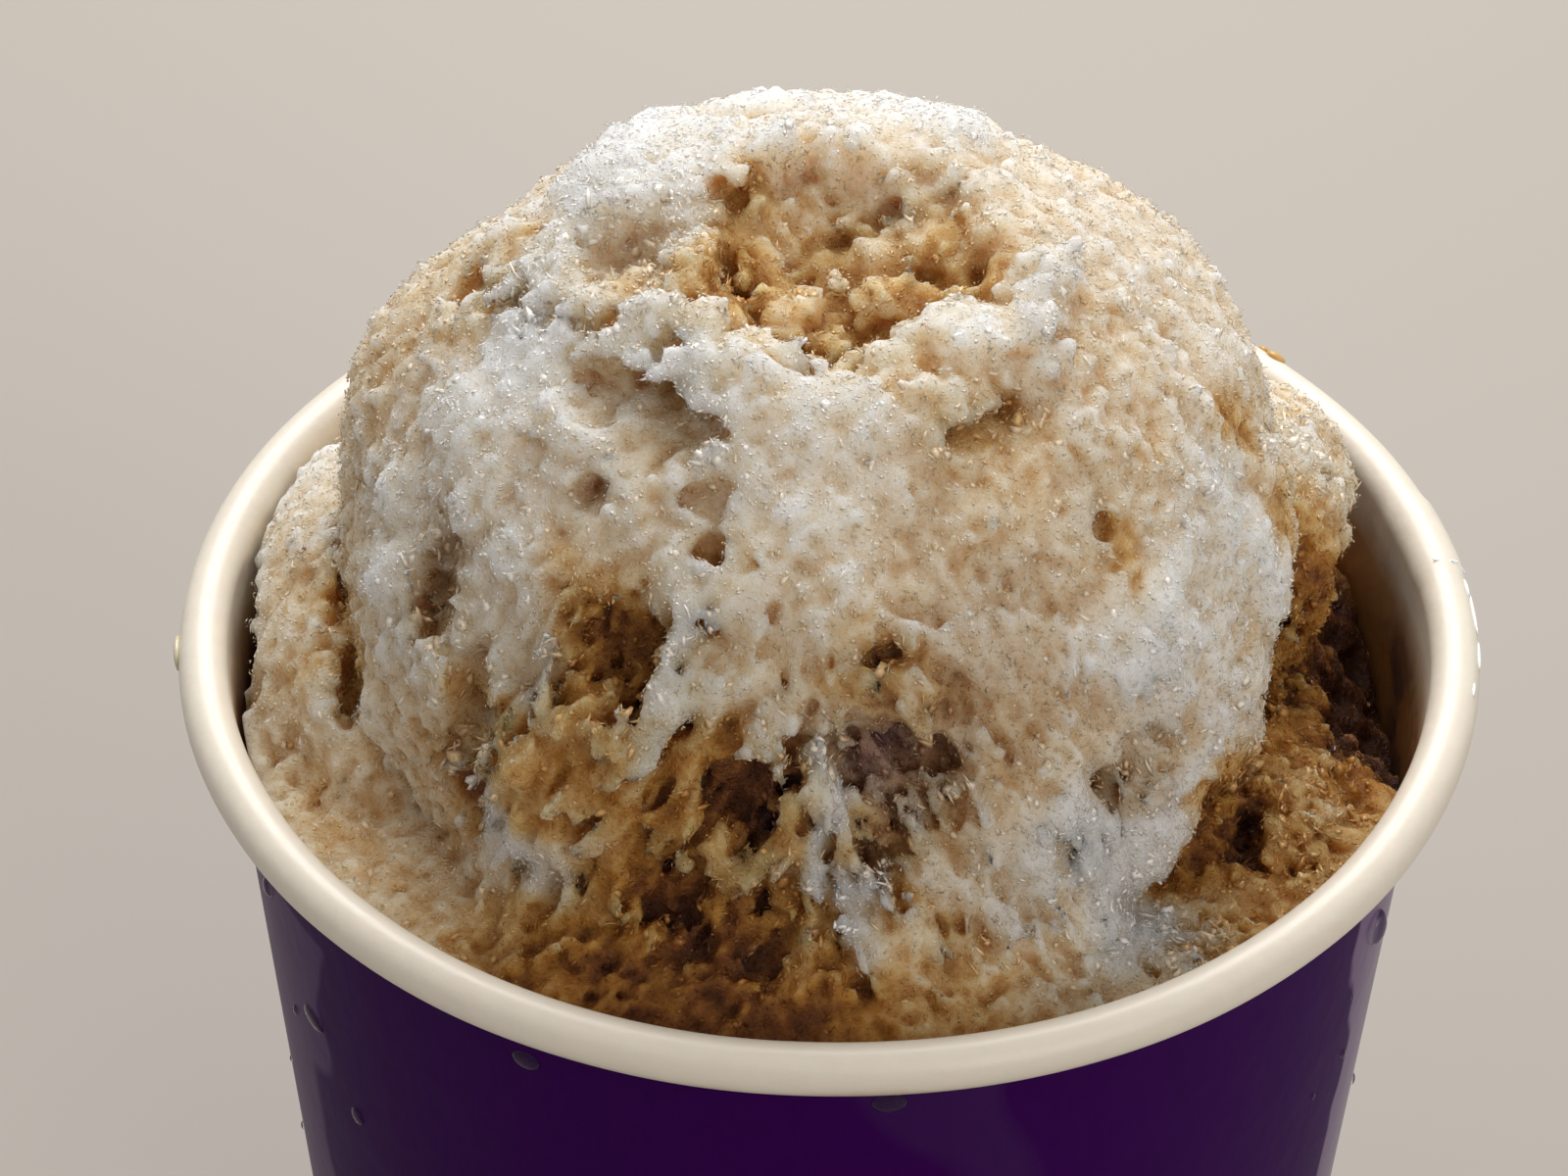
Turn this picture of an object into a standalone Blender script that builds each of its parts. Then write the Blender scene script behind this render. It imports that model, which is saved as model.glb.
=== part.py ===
"""A paper cup heaped with shaved ice.

Three solids: the cup's side wall with its rolled rim, the recessed base disc that closes it,
and the heap of ice, which fills the cup and stands above the rim as a torn ball.
Metres, +Z up, origin at the middle of the ring that the cup stands on.
"""

import math

import bmesh
import bpy
import numpy as np
from mathutils import Vector, noise

MM = 0.001

# Cup
RIM_DIAMETER = 98.0 * MM  # over the rolled rim
RIM_BEAD_RADIUS = 1.85 * MM
CUP_HEIGHT = 92.0 * MM
WALL_TAPER = 0.08  # loss of radius for each unit of depth
PAPER = 0.5 * MM
HEM_THICKNESS = 1.4 * MM
HEM_HEIGHT = 6.6 * MM
BASE_LIFT = 6.9 * MM  # underside of the base disc above the table
BASE_THICKNESS = 0.7 * MM
GAP = 0.3 * MM  # clearance between pieces that touch
CUP_SEGMENTS = 64
BEAD_STEPS = 12

BEAD_Z = CUP_HEIGHT - RIM_BEAD_RADIUS
BEAD_CENTRE_RADIUS = RIM_DIAMETER / 2 - RIM_BEAD_RADIUS
WALL_INNER_AT_BEAD = BEAD_CENTRE_RADIUS - RIM_BEAD_RADIUS

# Ice. Places are in mm from the middle of the rim bead: right, back, up.
ICE_SEGMENTS = 80
ICE_RINGS = 44
ICE_BASE_RINGS = 3
ICE_SIDE_RINGS = 4
ICE_EYE_DEPTH = 20.0 * MM  # the heap is seen whole from a point this far under the rim
ICE_SHOULDER = 0.12  # angle above level, from that point, where the torn top begins
ICE_WALL_GAP = 0.35 * MM
ICE_LEVEL = -5.5 * MM  # level of the packed ice around the ball
LEVEL_TILT = (-0.03, -0.04)  # rise of that level per unit to the right and to the back
BLEND = 2.5 * MM
LOBES = (  # centre, half sizes
    ((-1, 0, 7), (35, 36, 34.5)),  # the ball
    ((-22.5, 5, 13), (14.5, 16, 17)),  # its left shoulder
    ((13, 6, 15), (19.5, 21, 19.5)),  # its right shoulder
    ((-33.5, 5, -4), (11, 21, 10.5)),  # shelf along the left wall
    ((33.5, 11.5, 1), (7.5, 12.5, 11)),  # chunk leaning on it at the back right
    ((31, -12, -13), (10, 17, 10)),  # sunken mass at the right
    ((0, -34, -9), (26, 11, 9)),  # slumped foot at the front
)
HOLLOWS = (  # centre, half sizes, depth
    ((2, -7, 41), (13, 10, 12), 11.0),  # crater in the top
    ((-20, -9, 33), (12, 4, 6), 4.5),  # groove that runs left out of it
    ((-6, -33, 16), (14, 12, 5), 4.0),  # cave under the front lip
    ((2, -37, 3), (11, 9, 6), 4.0),  # cavity low at the front
    ((-18, -32, 4), (6, 8, 7), 2.5),  # hollow beside it
    ((29, 17, 14), (4, 9, 14), 4.0),  # crevice between ball and chunk
    ((46, 2, -6), (5, 16, 8), 8.0),  # gap along the right wall
)
RELIEF = ((9.0 * MM, 1.3 * MM), (4.5 * MM, 0.8 * MM))  # wavelength, height


def start_collection(name):
    for old in list(bpy.data.objects):
        bpy.data.objects.remove(old, do_unlink=True)
    for old in list(bpy.data.collections):
        bpy.data.collections.remove(old)
    collection = bpy.data.collections.new(name)
    bpy.context.scene.collection.children.link(collection)
    return collection


def make_material(name, colour, roughness):
    material = bpy.data.materials.new(name)
    material.use_nodes = True
    shader = material.node_tree.nodes["Principled BSDF"]
    shader.inputs["Base Color"].default_value = (*colour, 1.0)
    shader.inputs["Roughness"].default_value = roughness
    shader.inputs["Metallic"].default_value = 0.0
    return material


def add_object(collection, name, mesh, material):
    piece = bpy.data.objects.new(name, mesh)
    piece.data.materials.append(material)
    collection.objects.link(piece)
    return piece


def wall_inner_radius(z):
    return WALL_INNER_AT_BEAD - WALL_TAPER * (BEAD_Z - z)


def turned(collection, name, profile, material):
    """A closed profile of (radius, height) points, turned about the Z axis."""
    mesh = bpy.data.meshes.new(name)
    points = [(radius, 0.0, z) for radius, z in profile]
    edges = [(i, (i + 1) % len(points)) for i in range(len(points))]
    mesh.from_pydata(points, edges, [])
    piece = add_object(collection, name, mesh, material)
    screw = piece.modifiers.new("Turn", "SCREW")
    screw.axis = "Z"
    screw.steps = CUP_SEGMENTS
    screw.render_steps = CUP_SEGMENTS
    screw.use_merge_vertices = True
    screw.merge_threshold = 0.01 * MM
    return piece


def rim_arc():
    """The rolled rim, from its inner edge over the top and round to the wall's outer face."""
    inward = BEAD_CENTRE_RADIUS - (WALL_INNER_AT_BEAD + PAPER)
    start = math.pi
    end = math.acos(inward / RIM_BEAD_RADIUS) - math.pi
    arc = []
    for step in range(BEAD_STEPS + 1):
        angle = start + (end - start) * step / BEAD_STEPS
        radius = BEAD_CENTRE_RADIUS + RIM_BEAD_RADIUS * math.cos(angle)
        arc.append((radius, BEAD_Z + RIM_BEAD_RADIUS * math.sin(angle)))
    return arc


def make_cup_wall(collection, material):
    foot_outer = wall_inner_radius(0.0) + PAPER
    hem_inner = foot_outer - HEM_THICKNESS
    hem_top_inner = hem_inner + WALL_TAPER * HEM_HEIGHT
    profile = rim_arc() + [
        (foot_outer, 0.0),
        (hem_inner, 0.0),
        (hem_top_inner, HEM_HEIGHT),
        (wall_inner_radius(HEM_HEIGHT), HEM_HEIGHT),
    ]
    return turned(collection, "cup_wall", profile, material)


def make_cup_base(collection, material):
    """The disc that closes the cup, with its edge turned down inside the hem."""
    hem_inner = wall_inner_radius(0.0) + PAPER - HEM_THICKNESS
    flange_foot = 1.2 * MM
    outer_foot = hem_inner + WALL_TAPER * flange_foot - GAP
    outer_top = hem_inner + WALL_TAPER * HEM_HEIGHT - GAP
    top = BASE_LIFT + BASE_THICKNESS
    profile = [
        (0.0, top),
        (outer_top - 0.4 * MM, top),
        (outer_top, top - 0.4 * MM),
        (outer_foot, flange_foot),
        (outer_foot - PAPER, flange_foot),
        (outer_top - PAPER - 0.3 * MM, BASE_LIFT),
        (0.0, BASE_LIFT),
    ]
    return turned(collection, "cup_base", profile, material)


def lobe_reach(eye, rays, centre, half):
    """How far each ray from the eye runs before it leaves an ellipsoid; 0 where it misses."""
    scaled_eye = (eye - centre) / half
    scaled_rays = rays / half
    a = (scaled_rays**2).sum(1)
    b = scaled_rays @ scaled_eye
    c = scaled_eye @ scaled_eye - 1.0
    inside_root = b * b - a * c
    hit = inside_root > 0
    far = (-b + np.sqrt(np.where(hit, inside_root, 0.0))) / a
    return np.where(hit & (far > 0), far, 0.0)


def soft_max(first, second, softness):
    share = np.clip(0.5 + 0.5 * (first - second) / softness, 0.0, 1.0)
    return second + (first - second) * share + softness * share * (1.0 - share)


def cup_reach(eye, rays):
    """How far each ray runs before it meets the cup's wall or floor, less the gap."""
    radius_at_eye = wall_inner_radius(eye[2]) - ICE_WALL_GAP
    across = np.hypot(rays[:, 0], rays[:, 1])
    to_wall = radius_at_eye / np.maximum(across - WALL_TAPER * rays[:, 2], 1e-6)
    floor = BASE_LIFT + BASE_THICKNESS + GAP
    down = np.minimum(rays[:, 2], -1e-6)
    to_floor = (floor - eye[2]) / down
    return np.minimum(to_wall, to_floor)


def heap_reach(eye, rays):
    """How far each ray from the eye runs before it leaves the ice."""
    rim_middle = np.array([0.0, 0.0, BEAD_Z])
    slope = rays[:, 2] - rays[:, 0] * LEVEL_TILT[0] - rays[:, 1] * LEVEL_TILT[1]
    level = BEAD_Z + ICE_LEVEL
    to_level = (level - eye[2]) / np.maximum(slope, 1e-6)
    reach = np.minimum(to_level, cup_reach(eye, rays))
    for centre, half in LOBES:
        out = lobe_reach(eye, rays, rim_middle + np.array(centre) * MM, np.array(half) * MM)
        reach = soft_max(reach, out, BLEND)
    points = eye + rays * reach[:, None]
    for centre, half, depth in HOLLOWS:
        away = (points - rim_middle - np.array(centre) * MM) / (np.array(half) * MM)
        reach = reach - depth * MM * np.exp(-(away**2).sum(1))
    return reach


def relief(points):
    """Uneven height of the torn surface."""
    height = np.zeros(len(points))
    for wavelength, amount in RELIEF:
        values = [noise.noise(Vector(point) / wavelength) for point in points]
        height += amount * np.array(values)
    return height


def ring_angle(turn, corner, shoulder):
    """Polar angle of a ring: a few rings under the ice, a few up its side, most on its top."""
    ring = turn * ICE_RINGS
    last_side = ICE_BASE_RINGS + ICE_SIDE_RINGS
    if ring <= ICE_BASE_RINGS:
        return corner * ring / ICE_BASE_RINGS
    if ring <= last_side:
        return corner + (shoulder - corner) * (ring - ICE_BASE_RINGS) / ICE_SIDE_RINGS
    return shoulder + (math.pi - shoulder) * (ring - last_side) / (ICE_RINGS - last_side)


def make_ice(collection, material):
    """A ball whose points are pushed out to the cup below and to the heap's skin above."""
    eye = np.array([0.0, 0.0, BEAD_Z - ICE_EYE_DEPTH])
    floor = BASE_LIFT + BASE_THICKNESS + GAP
    floor_radius = wall_inner_radius(floor) - ICE_WALL_GAP
    corner = math.atan2(floor_radius, eye[2] - floor)
    shoulder = math.pi / 2 + ICE_SHOULDER
    shape = bmesh.new()
    bmesh.ops.create_uvsphere(shape, u_segments=ICE_SEGMENTS, v_segments=ICE_RINGS, radius=1.0)
    rays = []
    for vertex in shape.verts:
        turn = math.acos(max(-1.0, min(1.0, -vertex.co.z))) / math.pi
        around = math.atan2(vertex.co.y, vertex.co.x)
        polar = ring_angle(turn, corner, shoulder)
        across = math.sin(polar)
        rays.append((across * math.cos(around), across * math.sin(around), -math.cos(polar)))
    rays = np.array(rays)
    reach = heap_reach(eye, rays)
    on_top = np.clip((rays[:, 2] - ICE_SHOULDER) / ICE_SHOULDER, 0.0, 1.0)
    reach = reach + on_top * relief(eye + rays * reach[:, None])
    below_rim = eye[2] + rays[:, 2] * reach < CUP_HEIGHT + 2.0 * MM
    reach = np.where(below_rim, np.minimum(reach, cup_reach(eye, rays)), reach)
    for vertex, ray, length in zip(shape.verts, rays, reach):
        vertex.co = Vector(eye + ray * length)
    bmesh.ops.recalc_face_normals(shape, faces=shape.faces)
    mesh = bpy.data.meshes.new("shaved_ice")
    shape.to_mesh(mesh)
    shape.free()
    mesh.shade_smooth()
    return add_object(collection, "shaved_ice", mesh, material)


def main():
    collection = start_collection("shaved_ice_cup")
    purple = make_material("purple_coated_paper", (0.055, 0.012, 0.13), 0.25)
    cream = make_material("cream_paper", (0.80, 0.76, 0.66), 0.5)
    ice = make_material("syrup_soaked_ice", (0.80, 0.74, 0.64), 0.45)
    make_cup_wall(collection, purple)
    make_cup_base(collection, cream)
    make_ice(collection, ice)


main()
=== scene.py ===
"""The looks of a paper cup heaped with shaved ice.

The ice is one field of distances: a ball and the bed around it are joined from soft lobes, carved,
roughened and turned into a mesh cell by cell, and loose chips are strewn on it. Ice places are in mm
from the middle of the rim bead: right, back, up. All else is in metres, in the frame's own axes.
"""

import math

import bpy
import numpy as np
from mathutils import Euler, Matrix, Vector


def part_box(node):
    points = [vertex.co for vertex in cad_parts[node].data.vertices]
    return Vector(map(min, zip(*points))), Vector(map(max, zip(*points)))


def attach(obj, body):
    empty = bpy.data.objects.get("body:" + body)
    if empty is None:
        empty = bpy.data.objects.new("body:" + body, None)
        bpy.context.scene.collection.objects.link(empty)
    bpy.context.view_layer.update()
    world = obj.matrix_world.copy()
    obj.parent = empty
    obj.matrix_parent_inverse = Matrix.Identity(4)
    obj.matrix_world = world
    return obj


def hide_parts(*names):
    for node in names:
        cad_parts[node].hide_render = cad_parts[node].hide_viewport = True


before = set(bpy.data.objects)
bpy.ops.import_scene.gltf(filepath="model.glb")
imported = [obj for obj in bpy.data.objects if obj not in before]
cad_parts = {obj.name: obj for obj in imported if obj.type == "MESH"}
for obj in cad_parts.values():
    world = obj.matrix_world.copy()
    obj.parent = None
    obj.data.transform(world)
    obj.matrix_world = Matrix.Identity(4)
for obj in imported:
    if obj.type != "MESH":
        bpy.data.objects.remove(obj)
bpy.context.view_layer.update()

MM = 0.001

# Cup: the rim's radius and height come from the frame, the rest is given here
WALL_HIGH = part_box("cup_wall")[1]
RIM_RADIUS = WALL_HIGH.x
CUP_HEIGHT = WALL_HIGH.z
BEAD_RADIUS = 1.85 * MM
BEAD_Z = CUP_HEIGHT - BEAD_RADIUS
BEAD_CENTRE_RADIUS = RIM_RADIUS - BEAD_RADIUS
PAPER = 0.5 * MM
WALL_TAPER = 0.08
WALL_INNER_AT_BEAD = BEAD_CENTRE_RADIUS - BEAD_RADIUS
FLOOR_LOW = 6.9 * MM
FLOOR_HIGH = 7.6 * MM
CORE_BOTTOM = 8.0 * MM
LINER_BOTTOM = 8.2 * MM
HEM_TOP = 6.6 * MM  # the sleeve's edge is turned in and up to here
ROUND_STEPS = 288
AXIS_GAP = 0.02 * MM  # turned discs stop this short of the axis

# Ice, in mm from the middle of the rim bead
CELL = 0.28
BALL = (  # centre, half sizes
    ((-1, 0, 7), (34.5, 35.5, 34)),
    ((-22.5, 5, 13), (14, 15.5, 16.5)),  # left shoulder
    ((13, 6, 15), (19, 20.5, 19)),  # right shoulder
)
BED = (
    ((-33.5, 5, -4), (11, 21, 10.5)),  # shelf along the left wall
    ((33.5, 11.5, 1), (7, 12, 10.5)),  # chunk leaning on the ball at the back right
    ((31, -12, -13), (10, 17, 10)),  # sunken mass at the right
    ((0, -34, -9), (26, 11, 9)),  # slumped foot at the front
)
BED_LEVEL = -5.5
BED_TILT = (-0.03, -0.04)
SWELLS = 260  # soft round swells over the ball
SWELL_SIZES = (2.6, 7.0)
ICE_WALL_GAP = 0.5
ICE_TRIM_TOP = 6.0  # above this height the cup's wall no longer trims the ice
ICE_FLOOR = -16.0  # the worked ice reaches this far down; a plain core fills the cup below
ICE_TRIANGLES = 198000
SMALLEST_BIT = 80  # bits of ice with fewer triangles hang in the air and are left out


# ------ space and noise


class Block:
    """A box of space cut into cells, with fields of numbers at the cells' corners."""

    def __init__(self, low, high, cell):
        self.low = np.array(low, float)
        self.cell = cell
        self.count = (np.ceil((np.array(high, float) - self.low) / cell)).astype(int) + 1
        lines = [self.low[a] + cell * np.arange(self.count[a]) for a in range(3)]
        self.x = lines[0].astype(np.float32)[:, None, None]
        self.y = lines[1].astype(np.float32)[None, :, None]
        self.z = lines[2].astype(np.float32)[None, None, :]

    def noise(self, grain, seed, lean=(0.0, 0.0)):
        """Smooth random field with lumps about grain mm across.

        grain may differ along the axes, and lean tilts long lumps to the right and the back.
        """
        grains = np.broadcast_to(np.array(grain, float), 3)
        random = np.random.default_rng(seed)
        reach = self.cell * (self.count - 1)
        slack = [abs(lean[0]) * reach[2], abs(lean[1]) * reach[2], 0.0]
        knots = [int(math.ceil((reach[a] + slack[a]) / grains[a])) + 4 for a in range(3)]
        lattice = random.uniform(-1.0, 1.0, knots).astype(np.float32)
        lines = [np.arange(self.count[a]) * self.cell for a in range(3)]
        levels = knot_weights(lines[2] / grains[2], knots[2])
        if lean == (0.0, 0.0):
            rows = knot_weights(lines[0] / grains[0], knots[0])
            columns = knot_weights(lines[1] / grains[1], knots[1])
            field = np.ascontiguousarray(np.tensordot(rows, lattice, (1, 0)))
            field = np.matmul(columns, field).reshape(-1, knots[2])
            return (field @ np.ascontiguousarray(levels.T)).reshape(self.count)
        lattice = np.ascontiguousarray(np.moveaxis(np.tensordot(lattice, levels, (2, 1)), 2, 0))
        layers = np.empty((self.count[2], self.count[0], self.count[1]), np.float32)
        for step, height in enumerate(lines[2]):
            moved = [lean[a] * height + max(-lean[a], 0.0) * reach[2] for a in range(2)]
            rows = knot_weights((lines[0] + moved[0]) / grains[0], knots[0])
            columns = knot_weights((lines[1] + moved[1]) / grains[1], knots[1])
            layers[step] = rows @ lattice[step] @ columns.T
        return np.ascontiguousarray(np.moveaxis(layers, 0, 2))

    def cut(self, low, high):
        """A smaller block on the same cells, and the slices that it takes up."""
        start = np.clip(np.floor((np.array(low) - self.low) / self.cell).astype(int), 0, self.count - 2)
        end = np.ceil((np.array(high) - self.low) / self.cell).astype(int)
        end = np.clip(end, start + 1, self.count - 1)
        small = Block(self.low + start * self.cell, self.low + end * self.cell, self.cell)
        small.count = end - start + 1
        slices = tuple(slice(a, b + 1) for a, b in zip(start, end))
        small.x, small.y, small.z = self.x[slices[0]], self.y[:, slices[1]], self.z[:, :, slices[2]]
        return small, slices

    def sample(self, field, points):
        """The field's value at each point, blended between the eight corners around it."""
        place = (points - self.low) / self.cell
        place = np.clip(place, 0, self.count - 1.001)
        corner = place.astype(int)
        share = place - corner
        total = np.zeros(len(points))
        for step in np.ndindex(2, 2, 2):
            weight = np.abs(1 - np.array(step) - share)
            total += weight[:, 0] * weight[:, 1] * weight[:, 2] * field[tuple((corner + step).T)]
        return total

    def part(self, centre, reach):
        """Slices for the cells within reach of a centre, along each axis."""
        low = np.floor((np.array(centre) - reach - self.low) / self.cell).astype(int)
        high = np.ceil((np.array(centre) + reach - self.low) / self.cell).astype(int) + 1
        low = np.clip(low, 0, self.count)
        high = np.clip(high, 0, self.count)
        return tuple(slice(a, b) for a, b in zip(low, high))

    def away(self, centre, slices=(slice(None),) * 3):
        x = self.x[slices[0]] - np.float32(centre[0])
        y = self.y[:, slices[1]] - np.float32(centre[1])
        z = self.z[:, :, slices[2]] - np.float32(centre[2])
        return x, y, z


def knot_weights(places, knots):
    """Catmull-Rom weights of each knot of a line at each place; place 0 lies on the second knot."""
    weights = np.zeros((len(places), knots), np.float32)
    rows = np.arange(len(places))
    first = np.floor(places).astype(int)
    t = places - first
    parts = (
        -0.5 * t + t**2 - 0.5 * t**3,
        1 - 2.5 * t**2 + 1.5 * t**3,
        0.5 * t + 2 * t**2 - 1.5 * t**3,
        -0.5 * t**2 + 0.5 * t**3,
    )
    for step, part in enumerate(parts):
        weights[rows, first + step] += part
    return weights


def ellipsoid(away, half):
    """Rough distance to an ellipsoid's skin: below 0 inside it."""
    x, y, z = away
    near = np.sqrt((x / half[0]) ** 2 + (y / half[1]) ** 2 + (z / half[2]) ** 2)
    steep = np.sqrt((x / half[0] ** 2) ** 2 + (y / half[1] ** 2) ** 2 + (z / half[2] ** 2) ** 2)
    return near * (near - 1.0) / np.maximum(steep, 1e-6)


def fall_off(away, half):
    """0 at the middle of a spot and ever lower away from it; np.exp makes it a soft round bell."""
    x, y, z = away
    return -((x / half[0]) ** 2) - (y / half[1]) ** 2 - (z / half[2]) ** 2


def soft_min(first, second, softness):
    """The smaller of two, with the crease between them rounded off."""
    share = np.clip(0.5 + 0.5 * (second - first) / softness, 0.0, 1.0)
    return second + (first - second) * share - softness * share * (1.0 - share)


def ramp(value, low, high):
    """0 below low, 1 above high, with a smooth rise between."""
    t = np.clip((value - low) / (high - low), 0.0, 1.0)
    return t * t * (3.0 - 2.0 * t)


# ------ cells to mesh


def skin_of(block, field):
    """Corners and quads of the surface where the field crosses 0, with its insides below 0."""
    strides = np.array([block.count[1] * block.count[2], block.count[2], 1])
    inside = field < 0
    all_quads, all_places = [], []
    for axis in range(3):
        near = [slice(None)] * 3
        far = [slice(None)] * 3
        near[axis] = slice(None, -1)
        far[axis] = slice(1, None)
        near, far = tuple(near), tuple(far)
        cross = np.argwhere(inside[near] != inside[far])
        one, two = (axis + 1) % 3, (axis + 2) % 3
        keep = (cross[:, one] > 0) & (cross[:, two] > 0)
        cross = cross[keep]
        step = np.zeros(3, int)
        step[axis] = 1
        start = field[tuple(cross.T)]
        end = field[tuple((cross + step).T)]
        places = cross.astype(float)
        places[:, axis] += start / (start - end)
        cell = cross @ strides
        ring = [
            cell - strides[one] - strides[two],
            cell - strides[two],
            cell,
            cell - strides[one],
        ]
        quads = np.stack(ring, 1)
        outward = start < 0
        quads[~outward] = quads[~outward][:, ::-1]
        all_quads.append(quads)
        all_places.append(places)
    quads = np.concatenate(all_quads)
    places = np.concatenate(all_places)
    corner_of = np.unique(quads.ravel(), return_inverse=True)[1].reshape(-1)
    shares = np.bincount(corner_of)
    corners = np.stack(
        [np.bincount(corner_of, weights=np.repeat(places[:, a], 4)) / shares for a in range(3)], 1
    )
    return block.low + corners * block.cell, corner_of.reshape(-1, 4)


def drop_crumbs(corners, faces, smallest):
    """Leaves out loose bits with fewer faces than the smallest allowed."""
    label = np.arange(len(corners))
    while True:
        low = label[faces].min(1)
        new = label.copy()
        for side in range(faces.shape[1]):
            np.minimum.at(new, faces[:, side], low)
        for hop in range(4):
            new = new[new]
        if (new == label).all():
            break
        label = new
    sizes = np.bincount(label[faces[:, 0]], minlength=len(corners))
    faces = faces[sizes[label[faces[:, 0]]] >= smallest]
    used, kept = np.unique(faces.ravel(), return_inverse=True)
    return corners[used], kept.reshape(faces.shape)


def mesh_from(name, corners, faces):
    """A mesh of equal-sided faces, from arrays; corners in metres in the frame's axes."""
    mesh = bpy.data.meshes.new(name)
    sides = faces.shape[1]
    mesh.vertices.add(len(corners))
    mesh.vertices.foreach_set("co", corners.astype(np.float32).ravel())
    mesh.loops.add(faces.size)
    mesh.loops.foreach_set("vertex_index", faces.astype(np.int32).ravel())
    mesh.polygons.add(len(faces))
    mesh.polygons.foreach_set("loop_start", np.arange(0, faces.size, sides, dtype=np.int32))
    mesh.update(calc_edges=True)
    mesh.validate()
    return mesh


def to_frame(points):
    return points * MM + np.array([0.0, 0.0, BEAD_Z])


def from_frame(points):
    return (points - np.array([0.0, 0.0, BEAD_Z])) / MM


def add_piece(name, mesh, material, smooth=True):
    piece = bpy.data.objects.new(name, mesh)
    bpy.context.scene.collection.objects.link(piece)
    mesh.materials.append(material)
    if smooth:
        mesh.shade_smooth()
    return piece


def thin_out(piece, triangles):
    """Collapses edges until the piece has at most that many triangles."""
    count = sum(len(p.vertices) - 2 for p in piece.data.polygons)
    if count <= triangles:
        return
    modifier = piece.modifiers.new("Thin", "DECIMATE")
    modifier.ratio = triangles / count
    graph = bpy.context.evaluated_depsgraph_get()
    mesh = bpy.data.meshes.new_from_object(piece.evaluated_get(graph))
    old = piece.data
    piece.modifiers.clear()
    piece.data = mesh
    bpy.data.meshes.remove(old)


# ------ how the ice is torn

CRATER_BOWL = ((1.5, -7.0, 49.5), (16.5, 17.0, 16.5))  # centre, half sizes
TERRACE = ((-17.5, -3.5, 39.5), (9.5, 6.5, 4.5))
STREAKED_FACE = ((-15, -18.5, 34), (7.5, 7.5, 2.5))
LIP_LUMPS = (
    ((9.5, -11.5, 35), (5.5, 3.5, 3)),
    ((4.5, -15, 35), (2.5, 2, 2)),
    ((-6.5, -14, 35.5), (3.5, 2, 2)),
    ((14, -5, 35.5), (3, 3, 2.5)),
    ((-10, -4.5, 37), (1.5, 4, 2)),
    ((3.5, -4.5, 34), (3, 2, 1.5)),
    ((-3.5, -6.5, 34), (2.5, 2.5, 1.5)),
    ((7, 0.5, 35.5), (2.5, 2, 1.5)),
)
CRATER_PITS = (
    ((2.5, -11.5, 33), (4, 2.5, 2)),
    ((-2.5, -12.5, 34.5), (2.5, 2, 1.5)),
    ((-7.5, -4.5, 36), (1.5, 3, 3)),
    ((-7, 2.5, 38.5), (1, 1, 1.5)),
    ((5, -2.5, 35), (2, 1, 1.5)),
    ((10, -3.5, 36.5), (1, 2, 2)),
    ((-11.5, -13, 36), (1.5, 1.5, 1.5)),
)
GROOVE_PITS = (
    ((-26.5, 1.5, 30), (2.5, 2.5, 1.5)),
    ((-23.5, -2, 32.5), (3, 2, 1.5)),
    ((-20, -6.5, 34), (2.5, 1.5, 1.5)),
    ((-15.5, -9, 35.5), (3.5, 1.5, 1.5)),
)
FACE_PITS = (
    ((-17, -20.5, 29.5), (1, 1, 0.7)),
    ((-9.5, -23, 31), (2, 1.2, 0.7)),
    ((19, -20.5, 26.5), (1.2, 1.3, 0.8)),
    ((-8.5, -26, 28.5), (0.8, 1, 0.8)),
)
HOLLOWS = (  # soft dips in the front of the ball
    ((-28.5, -18.5, 19.5), (2, 3.5, 5.5)),
    ((-25.5, -24.5, 12), (1.8, 3, 5)),
    ((-9.5, -29.5, 24.5), (1.5, 1.5, 1)),
    ((23, -27, 9.5), (4.5, 2.5, 1.8)),
    ((-27.5, -24.5, 4.5), (2.5, 2.5, 2)),
    ((-8.5, -20.5, 34), (1.2, 4, 1)),
    ((12, -18.5, 33.5), (5, 3.5, 1)),
)
CAVES = (  # centre, half sizes: where syrup has melted the ice away
    ((-14.5, -28.5, 22), (4.5, 3, 2.5)),
    ((-14, -30.5, 18.5), (4, 2, 3)),
    ((-6.5, -34, 13.5), (2.5, 2.5, 3)),
    ((-11, -35, 3.5), (3, 2.5, 3.5)),
    ((-5, -37, 4.5), (3, 2, 4.5)),
    ((3, -35, 8.5), (2, 2, 2)),
    ((-0.5, -34, 17), (2, 2, 1.5)),
    ((5, -33.5, 15.5), (4, 3, 2.5)),
    ((8, -31.5, 19), (1.5, 1.5, 1.5)),
    ((3.5, -30.5, 23), (2, 1.5, 1)),
    ((-24, -26, 12), (1.5, 1.5, 2)),
)
POROUS = (  # centre, half sizes, depth of the small pits there
    ((-7, -34.5, 10), (8, 5, 10), 1.2),
    ((3, -33, 14), (6.5, 5, 8), 1.9),
    ((-15.5, -30, 17), (6, 4, 7), 0.9),
    ((-9, -37, 3), (9, 5, 4), 0.7),
    ((-26, -25, 7), (4, 4, 7), 1),
    ((6, -36.5, 4), (6, 4, 4), 0.6),
    ((11, -31, 19), (6, 4, 4), 0.6),
    ((24, -25.5, 9.5), (6.5, 4, 3.5), 1),
    ((33, -10, -2), (7, 14, 6), 0.8),
)
RIGHT_PITS = (
    ((31, 6, 8), (1.8, 8, 7)),
    ((32.5, -1, 3), (2, 3.5, 4)),
    ((30.5, -17.5, -3), (2, 3.5, 3)),
    ((38.5, -6, -4), (2, 3, 2)),
    ((-36.5, 0, 6), (1, 6, 3)),
    ((-35.5, -11, 2.5), (1, 4, 2)),
)
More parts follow.
